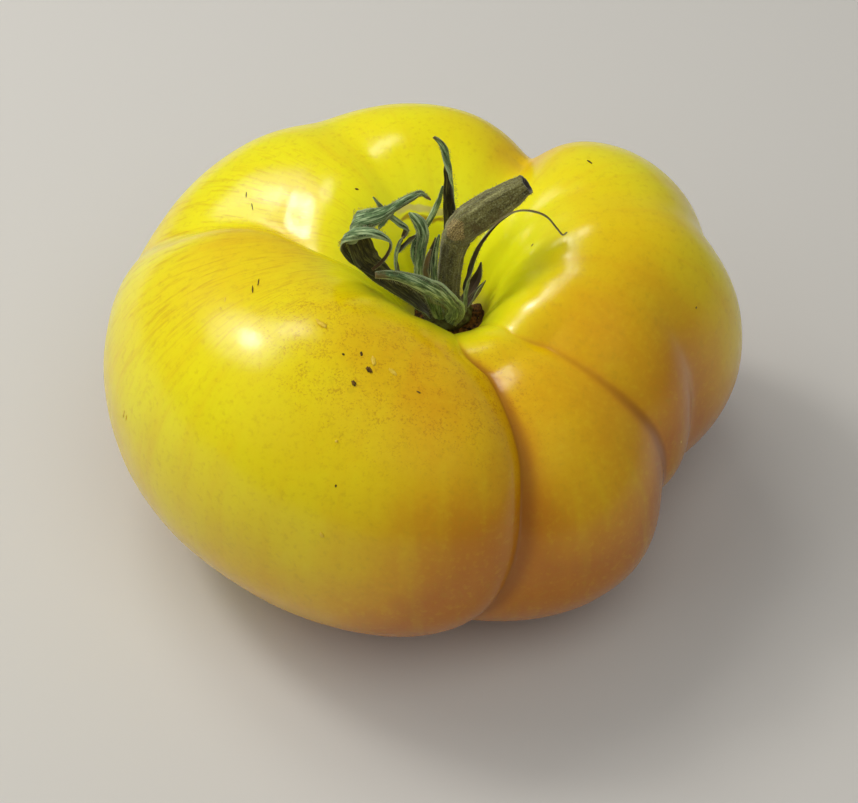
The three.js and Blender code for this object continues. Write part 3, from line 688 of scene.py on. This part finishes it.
# Each sepal: its name, the points of its rib, and at each of them its width, how far its edges roll
# in and how far it has turned about its rib, both in degrees, and how dry it is
SEPALS = [
    ("left_long",
     [(-2.9, -1.5, 45), (-6.8, -2.6, 50.9), (-10.8, -3.8, 56.6), (-13.6, -4.7, 60.9),
      (-15.2, -5.2, 64.2), (-16, -5.5, 67.2), (-16.8, -6.2, 70.3), (-16.9, -7.1, 72.7),
      (-15.8, -7.7, 74.4), (-13.8, -7.4, 74.9), (-11.9, -6.6, 75), (-10.2, -5.6, 75.3),
      (-8.3, -4.4, 75.9), (-6.4, -3.2, 76.2), (-4.7, -2.4, 76.2), (-3.8, -2.4, 75.3),
      (-3.1, -2.6, 74.8)],
     [2.4, 3.2, 4, 4.6, 4.8, 4.8, 5, 5.2, 5, 4.4, 3.2, 2, 1.7, 1.5, 1.2, 0.7, 0.3],
     [20, 30, 35, 35, 35, 35, 40, 45, 50, 55, 60, 60, 60, 55, 50, 40, 20],
     [-20, -40, -60, -75, -85, -85, -70, -40, -15, -5, 0, 0, 0, 0, 10, 20, 20],
     [0.3, 0.1, 0, 0, 0, 0, 0, 0, 0, 0, 0, 0, 0, 0.1, 0.4, 0.8, 1]),
    ("left_fork",
     [(-15.3, -8, 73.8), (-13.3, -7.5, 74), (-11.4, -6.5, 74.2), (-9.7, -5.5, 74.7),
      (-7.8, -4.3, 75.2), (-6.1, -3.3, 75.6), (-4.6, -2.6, 76.4)],
     [1.2, 1.8, 1.7, 1.5, 1.4, 1.2, 0.4],
     [30, 40, 50, 50, 50, 40, 20],
     [120, 120, 125, 130, 130, 130, 130],
     [0, 0, 0, 0, 0, 0.1, 0.4]),
    ("left_cross",
     [(-9.7, -5.4, 74.6), (-10.8, -6.4, 74.1), (-11.6, -7.2, 73.4), (-12.2, -7.8, 72.6)],
     [1.6, 1.7, 1.5, 0.5],
     [40, 40, 40, 30],
     [100, 100, 100, 100],
     [0, 0, 0.1, 0.3]),
    ("left_curl",
     [(-3.1, 0, 45), (-7.1, -1.8, 51), (-11.1, -3.6, 57), (-14.8, -5.4, 61.7), (-17, -6.1, 64.7),
      (-18.2, -6.8, 67.9), (-18.1, -8, 71.1), (-16.8, -9.1, 73.1), (-14.9, -9.8, 74),
      (-12.9, -10, 74), (-11.2, -10.1, 73.2), (-10, -10.3, 71.5), (-10.6, -10.8, 69.4),
      (-12, -11.2, 67.6), (-13.4, -11.5, 66.4)],
     [1.8, 2, 2.2, 2.4, 2.6, 2.8, 3, 3, 2.7, 2.2, 1.6, 0.9, 0.8, 0.7, 0.5],
     [20, 30, 40, 40, 40, 40, 45, 45, 50, 60, 60, 60, 60, 40, 20],
     [-20, -30, -45, -50, -60, -65, -50, -20, -10, -15, -30, -60, -90, -100, -100],
     [0.3, 0.1, 0, 0, 0, 0, 0, 0, 0.1, 0.2, 0.4, 0.7, 0.8, 0.9, 1]),
    ("broad",
     [(-1.8, -2.8, 45), (-3.6, -4.4, 52.1), (-5.2, -5.2, 57.9), (-5.2, -5.2, 62.3),
      (-4.9, -5, 65.6), (-4.5, -4.6, 68.1), (-5, -4, 70.2), (-6.1, -3.4, 71.5), (-7, -3, 72.1)],
     [1.8, 2.2, 2.2, 2, 2, 2.4, 2.6, 1.8, 0.4],
     [20, 30, 35, 35, 40, 40, 45, 50, 40],
     [0, 0, 10, 10, 20, 35, 40, 40, 40],
     [0.4, 0.1, 0, 0, 0, 0, 0, 0, 0.3]),
    ("bent",
     [(-2.9, 1.6, 45), (-6.6, -0.8, 50.9), (-9.2, -2, 56.9), (-9.4, -2.4, 61.7),
      (-8.7, -2.6, 64.8), (-7.9, -2.8, 66.6)],
     [1.5, 1.7, 1.8, 1.7, 1.4, 0.6],
     [20, 35, 45, 50, 60, 50],
     [0, 10, 20, 20, 20, 20],
     [0.4, 0.1, 0.2, 0.3, 0.5, 1]),
    ("bent_tip",
     [(-8, -2.8, 66), (-7.3, -3.2, 68.6), (-8.6, -3.4, 70.4), (-9.8, -3.6, 71.8),
      (-11.5, -3.6, 73.9), (-13.2, -3.4, 76.2)],
     [0.8, 1.7, 2, 1.9, 1.4, 0.3],
     [40, 60, 60, 60, 60, 40],
     [200, 200, 190, 180, 170, 160],
     [1, 0.6, 0.3, 0.2, 0.3, 0.8]),
    ("dark_branch",
     [(-9, -2.7, 62.4), (-7.6, -3.4, 64.8), (-6.6, -4, 66.5), (-5.8, -4.6, 68)],
     [1, 1.3, 1.3, 0.5],
     [50, 60, 60, 40],
     [180, 180, 180, 180],
     [0.3, 0.4, 0.6, 0.7]),
    ("front",
     [(-0.1, -3.2, 45), (0.9, -6.8, 51.4), (-0.2, -9.4, 56.2), (-2.5, -11, 60.3),
      (-5.4, -12, 63.4), (-8.3, -12.6, 65.5), (-10.8, -13, 66.5), (-12.8, -13.4, 66.9)],
     [3.4, 4.6, 4.8, 4.2, 3.4, 2.6, 2.2, 1.4],
     [25, 35, 45, 55, 65, 75, 80, 60],
     [-35, -25, 0, 30, 45, 50, 60, 65],
     [0.3, 0.05, 0, 0, 0, 0.1, 0.4, 0.9]),
    ("upright",
     [(0.3, 3.4, 45), (0.4, 6.6, 46.9), (0.4, 9.4, 51.6), (0.4, 11.4, 56.8), (0.5, 13, 62),
      (0.5, 14, 67.4), (-0.4, 15, 70.9), (-1.4, 15.4, 72.7), (-2.6, 15.6, 73.9)],
     [1.8, 2.2, 2.8, 3.2, 3.2, 2.6, 1.9, 1.1, 0.7],
     [30, 55, 75, 80, 80, 75, 60, 50, 30],
     [0, 0, 0, 0, -10, -60, -150, -180, -190],
     [0.4, 0.2, 0, 0, 0, 0.1, 0.2, 0.6, 1]),
    ("back_thin",
     [(-1.6, 3.1, 45), (-4.4, 4.8, 48.4), (-6.2, 6.4, 52), (-5.8, 7.8, 55.6), (-3.6, 9, 58.8),
      (-1.8, 10, 62.7), (-0.9, 10, 67)],
     [1.2, 1.5, 1.6, 1.5, 1.4, 1.2, 0.4],
     [30, 40, 40, 40, 50, 50, 30],
     [0, 60, 120, 150, 160, 160, 160],
     [0.5, 0.2, 0.1, 0, 0, 0.1, 0.6]),
    ("by_stem",
     [(-1.2, -3.2, 45), (-2.2, -4.6, 54), (-2.6, -5, 60), (-2.3, -5.2, 65), (-1.6, -5.3, 69)],
     [1.4, 1.5, 1.4, 1.3, 0.4],
     [20, 35, 45, 50, 30],
     [0, 0, 10, 15, 20],
     [0.3, 0.1, 0, 0, 0.4]),
    ("by_stem_dark",
     [(-1.6, -3, 45), (-3.1, -4.4, 54), (-3.6, -5, 60), (-2.9, -5.4, 65), (-2.2, -5.4, 68.4)],
     [1.2, 1.5, 1.5, 1.2, 0.4],
     [20, 45, 60, 60, 30],
     [170, 170, 170, 160, 150],
     [0.3, 0.2, 0.3, 0.2, 0.6]),
    ("dry_strip",
     [(-1.4, -3.2, 45), (-3.2, -5.6, 55.4), (-4, -6.4, 61), (-3.6, -6.6, 64.6),
      (-3.1, -6.5, 66.6)],
     [1, 1.2, 1.2, 1.1, 0.5],
     [30, 40, 40, 40, 30],
     [0, 10, 30, 40, 50],
     [0.4, 0.5, 0.9, 1, 1]),
    ("wire",
     [(3.2, -1.2, 45), (3.6, -2.6, 53.8), (4.2, -3, 58.4), (5.3, -3.2, 63.6), (7, -3.3, 67.6),
      (9.3, -3.3, 70.9), (11.9, -3.4, 72.9), (14.7, -3.5, 73.1), (17.2, -3.8, 72.1),
      (19.2, -4.2, 69.6), (20.3, -4.4, 68.2), (21, -4.4, 68.8)],
     [1.8, 1.6, 1.4, 1.2, 1, 0.8, 0.7, 0.65, 0.6, 0.55, 0.5, 0.3],
     [40, 70, 80, 90, 100, 100, 100, 100, 100, 100, 100, 60],
     [0, 20, 60, 90, 120, 140, 160, 180, 180, 180, 180, 180],
     [0.6, 0.5, 0.6, 0.8, 0.9, 1, 1, 1, 1, 1, 1, 1]),
    ("stub",
     [(3, 1.8, 45), (4.6, 3.1, 47.8), (5.8, 3.4, 50.8), (6.2, 3.2, 54.4)],
     [2.2, 2.6, 1.8, 0.3],
     [30, 40, 50, 30],
     [0, 10, 20, 30],
     [1, 1, 1, 1]),
    ("stub_low",
     [(3.2, 0.4, 45), (5.4, 1.2, 48), (7, 1.4, 51.4)],
     [2, 2.2, 0.5],
     [30, 50, 50],
     [0, -20, -40],
     [1, 1, 1]),
]
SEPAL_STEPS_PER_SPAN = 12
HALF_SECTION = 10
MID_THICKNESS = 0.42
EDGE_THICKNESS = 0.14
VEINS = [(0, 0.14, 0.13), (0.36, 0.05, 0.07), (-0.36, 0.05, 0.07), (0.68, 0.04, 0.06),
         (-0.68, 0.04, 0.06)]  # where across, how high, how wide
WIDTH_WAVE, ROLL_WAVE, LIFT_WAVE = 0.16, 0.5, 0.22  # how much the edges wander in these


def add_sepal(bundle, number, rib, *measures):
    """Adds a blade, and returns its rib, its two directions there and half its width."""
    middle, along, share, knots, length = evenly(rib, (len(rib) - 1) * SEPAL_STEPS_PER_SPAN)
    out = np.array([*middle[0][:2], 0])
    across = sides_along(along, np.cross(out / np.linalg.norm(out), (0, 0, 1)))
    inner = np.cross(across, along)
    width, roll, twist, dry = (np.interp(share, knots, values)[:, None] for values in measures)
    twist = np.radians(twist)
    across, inner = (
        across * np.cos(twist) + np.cross(along, across) * np.sin(twist),
        inner * np.cos(twist) + np.cross(along, inner) * np.sin(twist),
    )
    s = np.linspace(-1, 1, 2 * HALF_SECTION + 1)
    far = length * share[:, None]
    wave = np.array([[noise.noise(Vector((float(d) * 0.35, float(e) * 1.5, number * 7.7)))
                      for e in (-1, 1)] for d in far[:, 0]])
    side_wave = np.where(s < 0, wave[:, :1], wave[:, 1:])
    half = width / 2 * (1 + WIDTH_WAVE * side_wave * np.abs(s) ** 2)
    bend = np.radians(roll) * (1 + ROLL_WAVE * side_wave)
    flat_x = np.sin(bend * s) / bend * half
    lift = (1 - np.cos(bend * s)) / bend * half
    lift = lift + LIFT_WAVE * half * side_wave * s**2
    thick = EDGE_THICKNESS + (MID_THICKNESS - EDGE_THICKNESS) * (1 - s**2)
    thick = thick * np.clip(width / 1.6, 0.45, 1)
    ridge = sum(high * np.exp(-(((s - at) / wide) ** 2)) for at, high, wide in VEINS)
    ridge = ridge * np.clip(width / 2.4, 0.3, 1)

    def surface(offset):
        return (
            middle[:, None] + across[:, None] * flat_x[..., None]
            + inner[:, None] * (lift + offset)[..., None]
        )

    outer_face = surface(-thick / 2 - ridge)
    inner_face = surface(thick / 2 - ridge * 0.6)[:, ::-1]
    rings = np.concatenate([outer_face, inner_face], axis=1)
    both = np.concatenate([s, s[::-1]])
    # The inner face takes the second material, whose darker colours are painted shade
    bundle.add(
        rings, middle[0], middle[-1],
        second=[0] * len(s) + [1] * (len(s) - 1) + [0],
        across=both * width / 2, along=far + 0 * both, dry=dry + 0 * both,
        edge=np.abs(both) + 0 * far, blade=float(number),
    )
    return middle, across, inner, width[:, 0] / 2


leaf_outer = leaf_material(
    "sepal_outer", color(182, 202, 148), color(98, 126, 76), color(34, 50, 24), color(112, 90, 50)
)
# Darker copies of the outer colours for the inner faces: painted shade
leaf_inner_shaded = leaf_material(
    "sepal_inner_shaded", color(108, 108, 54), color(58, 54, 20), color(24, 22, 6), color(66, 48, 20)
)

sepal_bundle = Bundle()
blades = [add_sepal(sepal_bundle, number, *sepal) for number, (_, *sepal) in enumerate(SEPALS)]
sepals = sepal_bundle.piece("calyx_sepals", "sepal", leaf_outer, leaf_inner_shaded)
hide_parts("calyx")

# The disc that the sepals grow from, with a low swelling under each
RECEPTACLE = [
    (0.4, 43.5), (3.4, 43.35), (4.5, 44.0), (4.7, 45.0), (4.0, 46.0), (2.9, 46.5), (0.5, 46.6),
]
HIGHEST_ROOT = 46  # a blade that starts above this is a fork or a broken tip


def make_receptacle():
    sides = 96
    profile, *_ = evenly([(r, 0, z) for r, z in RECEPTACLE], 30)
    turn = np.linspace(0, 2 * np.pi, sides, endpoint=False)
    swell = np.zeros(sides)
    roots = [rib[0] for _, rib, *_ in SEPALS if rib[0][2] < HIGHEST_ROOT]
    for x, y, _ in roots:
        root = math.atan2(y, x)
        away = (turn - root + np.pi) % (2 * np.pi) - np.pi
        swell += 0.5 * np.exp(-((away / 0.2) ** 2))
    radius = profile[::-1, 0][:, None] * (0.94 + 0.12 * np.minimum(swell, 1))
    height = np.broadcast_to(profile[::-1, 2][:, None], radius.shape)
    rings = np.stack([radius * np.cos(turn), radius * np.sin(turn), height], -1)
    rings = rings + grid_normals(rings) * (0.14 * noise_at(rings, 0.9, 4))[..., None]
    bundle = Bundle()
    bundle.add(rings, (0, 0, RECEPTACLE[-1][1]), (0, 0, RECEPTACLE[0][1]))
    material = plain_material("receptacle", color(92, 96, 54), color(58, 46, 24), 1.1, 0.8)
    bundle.piece("calyx_disc", "sepal", material)


make_receptacle()

# The stem
STEM_CENTRE = [
    (0, 0, 46.8), (0, 0, 51), (0.4, 0, 57), (1.2, 0.3, 62.3), (3, 0.6, 65.8), (6.2, 1, 68.5),
    (9.9, 1.6, 71.2), (13.9, 2.3, 74.2),
]
STEM_RADIUS_AT = [0, 0.08, 0.35, 0.52, 0.65, 0.78, 0.88, 1]
STEM_RADIUS = [2.7, 2.1, 2.2, 2.7, 3.1, 3, 2.5, 1.85]
STEM_SIDES = 80
STEM_STEPS = 190
KNUCKLE_SCAR = (0.6, -2.0, 66.9)
SCAR_RADIUS, SCAR_CORE = 3.2, 1.6
SCAR_LINES_FROM = (8.6, -4.5, 62.4)


def make_stem():
    middle, along, share, _, length = evenly(STEM_CENTRE, STEM_STEPS)
    side = sides_along(along, (1, 0, 0))
    other = np.cross(along, side)
    turn = -np.linspace(0, 2 * np.pi, STEM_SIDES, endpoint=False)
    radius = eased_through(STEM_RADIUS_AT, STEM_RADIUS, share)[:, None] + 0 * turn
    wander = 0.5 * np.sin(5 * share)[:, None]
    radius = radius + 0.13 * np.cos(5 * turn + wander) + 0.06 * np.cos(11 * turn + 2 + wander)
    # The knuckle: a swollen joint with a shallow groove round it
    radius = radius - 0.22 * np.exp(-(((share[:, None] - 0.5) / 0.012) ** 2))
    radius = radius + 0.16 * np.exp(-(((share[:, None] - 0.54) / 0.03) ** 2))
    # The cut: the edge flares a little where it has dried
    radius = radius + 0.12 * between(0.985, 1, share)[:, None] - 0.3 * between(0.997, 1, share)[:, None]
    ring = side[:, None] * np.cos(turn)[:, None] + other[:, None] * np.sin(turn)[:, None]
    rings = middle[:, None] + ring * radius[..., None]
    rough = 0.09 * noise_at(rings, 1.3, 5) + 0.05 * noise_at(rings, 0.5, 6)
    rings = rings + ring * rough[..., None]
    # Three more rings make the cut face, which has sunk in the middle
    cut = []
    for reach, sunk in ((0.82, 0.05), (0.55, 0.35), (0.2, 0.6)):
        cut.append(middle[-1] + (rings[-1] - middle[-1]) * reach - along[-1] * sunk)
    count = len(rings)
    rings = np.concatenate([rings, np.array(cut)])
    is_cut = np.zeros((len(rings), 1))
    is_cut[count:] = 1
    from_scar = np.linalg.norm(rings - KNUCKLE_SCAR, axis=-1)
    scar_line = np.linalg.norm(rings - SCAR_LINES_FROM, axis=-1)
    far = np.concatenate([share * length, [length] * 3])[:, None]
    bundle = Bundle()
    bundle.add(
        rings, middle[0], middle[-1] - along[-1] * 0.65,
        scar=between(SCAR_RADIUS, SCAR_CORE, from_scar), scar_line=scar_line, cut=is_cut, along=far,
        turned_x=2.5 * np.cos(turn)[None], turned_y=2.5 * np.sin(turn)[None],
    )
    stem = bundle.piece("stem_stalk", "stalk", stem_material())
    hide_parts("stem")
    return rings[:count], ring


stem_rings, stem_outward = make_stem()

# Fine hairs on the stem and the sepals: closed three-sided spikes
HAIR_RADIUS = 0.035
STEM_HAIRS = 1500
SEPAL_HAIRS = 6  # at each sample of a rib, for each mm of half its width


def add_hair(points, faces, root, direction, length):
    side = direction.orthogonal().normalized()
    other = direction.cross(side)
    start = len(points)
    for k in range(3):
        turn = 2 * math.pi * k / 3
        around = (side * math.cos(turn) + other * math.sin(turn)) * HAIR_RADIUS
        points.append(root - direction * 0.05 + around)
    points.append(root + direction * length)
    faces += [(start + 2, start + 1, start)]
    faces += [(start + k, start + (k + 1) % 3, start + 3) for k in range(3)]


def make_hairs():
    draw = random.Random(11)
    points, faces = [], []
    for _ in range(STEM_HAIRS):
        i, j = draw.randrange(8, len(stem_rings)), draw.randrange(STEM_SIDES)
        outward = Vector(stem_outward[i, j])
        tilt = Vector((draw.gauss(0, 0.35), draw.gauss(0, 0.35), draw.gauss(0, 0.35)))
        add_hair(points, faces, Vector(stem_rings[i, j]), (outward + tilt).normalized(),
                 draw.uniform(0.25, 0.7))
    for middle, across, inner, half in blades:
        for _ in range(int(SEPAL_HAIRS * len(middle) * float(half.mean()))):
            i = draw.randrange(4, len(middle) - 2)
            edge = draw.choice((-1, 1))
            root = middle[i] + across[i] * half[i] * edge * draw.uniform(0.5, 0.92)
            outward = Vector(across[i] * edge * 0.8 - inner[i] * draw.uniform(-0.4, 1.0))
            tilt = Vector((draw.gauss(0, 0.3), draw.gauss(0, 0.3), draw.gauss(0, 0.3)))
            add_hair(points, faces, Vector(root), (outward + tilt).normalized(),
                     draw.uniform(0.2, 0.45))
    material = plain_material("hair", color(172, 172, 128), color(120, 112, 72), 1.2, 0.6)
    make_piece("stem_hairs", points, faces, "stalk", material)


make_hairs()


# The corky ring where the calyx meets the fruit. It reaches further on one side
CORK_FROM, CORK_TO = 3.0, 6.0
CORK_REACH, CORK_REACH_AZIMUTH = 0.8, 345


def make_cork_ring():
    sides, rows = 180, 22
    turn = np.linspace(0, 360, sides, endpoint=False)
    circle = np.stack([np.cos(np.radians(turn)), np.sin(np.radians(turn)), 0 * turn], -1)
    ragged = 0.9 * noise_at(circle, 0.5, 7) + 0.4 * noise_at(circle, 0.16, 8)
    away = (turn - CORK_REACH_AZIMUTH + 540) % 360 - 180
    spread = CORK_TO + ragged + CORK_REACH * np.exp(-((away / 45) ** 2))
    up = np.array([0, 0, 1])
    top, under = [], []
    for row in range(rows + 1):
        share = row / rows
        radius = CORK_FROM + (spread - CORK_FROM) * share
        place = radius / lobe_size(CREST_RADIUS, turn)
        points, _ = skin_points(place, turn)
        crumb = 0.5 + 0.9 * noise_at(points, 1.1, 8) + 0.8 * noise_at(points, 0.5, 9)
        lift = (0.08 + 0.45 * crumb) * (1 - share**2) ** 0.5
        lift = np.maximum(lift, 0.04)
        sink = 0.35 * (1 - share**4)
        top.append(points + up * lift[:, None])
        under.append(points - up * (sink + 0.02))
    rings = np.array(top + under[::-1])
    # A ring is a tube: its rows run round the section, and its columns round the stem
    faces = []
    for i in range(len(rings)):
        near, far = i * sides, (i + 1) % len(rings) * sides
        for j in range(sides):
            k = (j + 1) % sides
            faces.append((near + j, far + j, far + k, near + k))
    material = plain_material("cork", color(122, 80, 32), color(30, 22, 12), 0.8, 0.9, 0.3)
    make_piece("stem_end_cork", rings.reshape(-1, 3), faces, "sepal", material)


make_cork_ring()

# Marks on the skin: azimuth, place, length, width, heading in degrees from the meridian
DARK_MARKS = [
    (244, 1.07, 0.9, 0.55, 30), (240, 1.10, 0.5, 0.4, 80), (248, 1.12, 1.5, 1.0, 60),
    (246, 1.19, 1.1, 0.8, 40), (262, 1.16, 0.9, 0.4, 70), (262, 1.08, 0.7, 0.35, 20),
    (204, 1.10, 2.2, 0.22, 70), (202, 1.07, 2.0, 0.18, 66), (136, 0.67, 0.8, 0.4, 40),
    (102, 0.60, 0.6, 0.45, 10), (101, 0.67, 0.5, 0.35, 60), (150, 1.43, 0.9, 0.45, 50),
    (154, 1.20, 1.7, 0.4, 110), (157, 1.15, 1.9, 0.2, 120), (224, 2.04, 1.2, 0.25, 120),
    (249, 1.56, 0.5, 0.3, 0), (36, 1.02, 1.6, 0.35, 90), (9, 0.51, 0.7, 0.35, 20),
    (280, 1.19, 2.4, 0.2, 60), (284, 1.14, 1.8, 0.18, 50), (75, 1.6, 1.0, 0.5, 20),
    (118, 1.8, 1.4, 0.3, 70), (20, 1.7, 0.8, 0.5, 10), (350, 1.5, 0.6, 0.4, 80),
    (310, 2.2, 0.9, 0.4, 30), (140, 2.1, 0.7, 0.5, 50), (190, 2.3, 0.8, 0.3, 10),
]
PALE_MARKS = [
    (229, 1.03, 2.4, 0.9, 80), (248, 1.08, 1.8, 0.9, 30), (254, 1.10, 2.0, 0.9, 60),
    (205, 1.23, 1.0, 0.35, 70), (203, 1.20, 1.4, 0.3, 66), (201, 1.82, 1.6, 0.3, 0),
    (202, 1.82, 1.2, 0.3, 10), (248, 1.75, 1.0, 0.6, 30), (247, 1.41, 0.5, 0.4, 0),
    (40, 1.5, 1.2, 0.4, 20), (95, 1.7, 1.6, 0.3, 0), (330, 1.9, 1.0, 0.4, 10),
]
MARK_SIDES = 20
MARK_HEIGHT = 0.05
MARK_SECTION = [(0.25, 1.0), (0.6, 0.8), (0.9, 0.3), (1.0, -1.4), (0.5, -1.6)]  # reach, height


def make_marks(name, marks, material):
    """Thin healed scabs and scratches: low domes with ragged edges, let into the skin."""
    draw = random.Random(5)
    bundle = Bundle()
    step = 0.004
    spin = [2 * math.pi * k / MARK_SIDES for k in range(MARK_SIDES)]
    for azimuth, place, length, width, heading in marks:
        centre, _ = skin_points(place, azimuth)
        down = skin_points(place + step, azimuth)[0] - centre
        down /= np.linalg.norm(down)
        turn = skin_points(place, azimuth + 0.3)[0] - centre
        turn /= np.linalg.norm(turn)
        outward = np.cross(down, turn)
        outward /= np.linalg.norm(outward)
        angle = math.radians(heading)
        major = down * math.cos(angle) + turn * math.sin(angle)
        minor = np.cross(outward, major)
        edge = [1 + draw.uniform(-0.25, 0.25) for _ in range(MARK_SIDES)]
        flat = np.array([
            [(math.cos(a) * length / 2 * reach * e, math.sin(a) * width / 2 * reach * e, high)
             for a, e in zip(spin, edge)]
            for reach, high in MARK_SECTION
        ])
        spots = centre + flat[..., :1] * major + flat[..., 1:2] * minor
        spots = spots + outward * (flat[..., 2:] * MARK_HEIGHT)
        bundle.add(spots[:, ::-1], spots[0].mean(0), spots[-1].mean(0))
    bundle.piece(name, "skin", material)


make_marks("skin_scabs", DARK_MARKS,
           plain_material("scab", color(112, 78, 20), color(58, 42, 14), 0.5, 0.75, 0.06))
make_marks("skin_flecks", PALE_MARKS,
           plain_material("fleck", color(232, 200, 78), color(220, 184, 30), 0.5, 0.5, 0.04))


# The room, in metres: a pale table, a lamp at the upper left with a soft glow round it, a smaller
# lamp behind, two broad fills that the skin doesn't mirror, and a pale surround

def make_floor():
    mesh = bpy.data.meshes.new("table")
    size = 3.0
    corners = [(-size, -size, 0), (size, -size, 0), (size, size, 0), (-size, size, 0)]
    mesh.from_pydata(corners, [], [(0, 1, 2, 3)])
    n = Nodes("table")
    n.set(Base_Color=color(205, 202, 195), Roughness=0.65, Specular_IOR_Level=0.3)
    mesh.materials.append(n.material)
    floor = bpy.data.objects.new("table", mesh)
    bpy.context.scene.collection.objects.link(floor)


def make_lamp(name, azimuth, elevation, distance, size, power, tint=(1, 1, 1), mirrored=True):
    light = bpy.data.lights.new(name, "AREA")
    light.shape = "DISK"
    light.size = size
    light.energy = power
    light.color = tint
    lamp = bpy.data.objects.new(name, light)
    bpy.context.scene.collection.objects.link(lamp)
    a, e = math.radians(azimuth), math.radians(elevation)
    towards = Vector((math.cos(e) * math.cos(a), math.cos(e) * math.sin(a), math.sin(e)))
    lamp.location = Vector((0, 0, 0.04)) + towards * distance
    lamp.rotation_euler = towards.to_track_quat("Z", "Y").to_euler()
    lamp.visible_glossy = mirrored


make_floor()
make_lamp("key", 152, 48, 0.8, 0.18, 1.4, (1.0, 0.98, 0.95))
make_lamp("key_glow", 152, 48, 0.82, 0.55, 2.0, (1.0, 0.98, 0.95))
make_lamp("second", 118, 60, 0.9, 0.24, 0.8, (1.0, 0.98, 0.95))
make_lamp("left_fill", 205, 38, 1.3, 1.1, 2.8, (1.0, 0.99, 0.97), mirrored=False)
make_lamp("front_fill", 292, 62, 1.3, 1.2, 4.7, (1.0, 0.99, 0.97), mirrored=False)

world = bpy.data.worlds.new("room")
bpy.context.scene.world = world
world.use_nodes = True
surround = world.node_tree.nodes["Background"].inputs
surround["Color"].default_value = (0.92, 0.95, 1.0, 1)
surround["Strength"].default_value = 0.23
